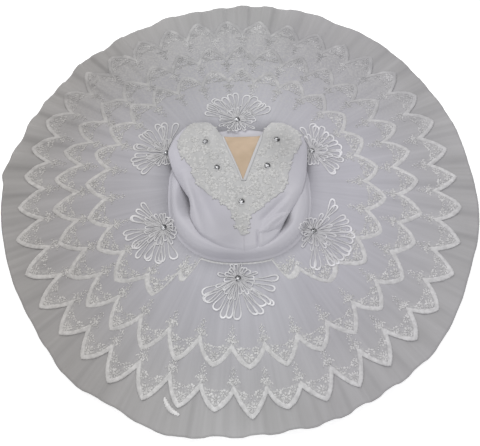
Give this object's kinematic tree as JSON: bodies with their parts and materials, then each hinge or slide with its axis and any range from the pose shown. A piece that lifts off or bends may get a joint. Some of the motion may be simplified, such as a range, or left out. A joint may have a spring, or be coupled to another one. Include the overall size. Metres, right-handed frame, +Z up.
{
  "type": "ballet tutu",
  "caption": "Classical ballet tutu laid flat: round pleated net skirt with scalloped lace tiers and ribbon flowers, satin bodice with a V insert lying back over it.",
  "frame": {"origin": "on the floor below the middle of the skirt's outline", "axes": "+Z up; the wearer's front, where the basque shows, faces -Y; +X is to the right seen from the front and above"},
  "size_m": [0.9535, 0.9539, 0.1006],
  "materials": {
    "net": "stiff pleated nylon net, matt",
    "lace": "corded floral lace on net, with small clear beads",
    "satin": "soft satin, low sheen",
    "nude_mesh": "fine stretch mesh, matt",
    "cotton": "plain matt knit",
    "ribbon": "shiny white satin cord",
    "crystal": "faceted, silver-backed"
  },
  "bodies": {
    "root": {"net_1": "net", "net_2": "net", "net_3": "net", "net_4": "net", "lace_outer": "lace", "lace_middle": "lace", "lace_inner": "lace", "plastron": "lace", "basque": "satin", "bodice_front_left": "satin", "bodice_front_right": "satin", "bodice_back_left": "satin", "bodice_back_right": "satin", "neck_insert": "nude_mesh", "knickers": "cotton", "flower_1": "ribbon", "flower_2": "ribbon", "flower_3": "ribbon", "flower_4": "ribbon", "flower_5": "ribbon", "flower_6": "ribbon", "flower_gem_1": "crystal", "flower_gem_2": "crystal", "flower_gem_3": "crystal", "flower_gem_4": "crystal", "flower_gem_5": "crystal", "flower_gem_6": "crystal", "bodice_gem_1": "crystal", "bodice_gem_2": "crystal", "bodice_gem_3": "crystal", "bodice_gem_4": "crystal", "bodice_gem_5": "crystal"}
  },
  "joints": []
}
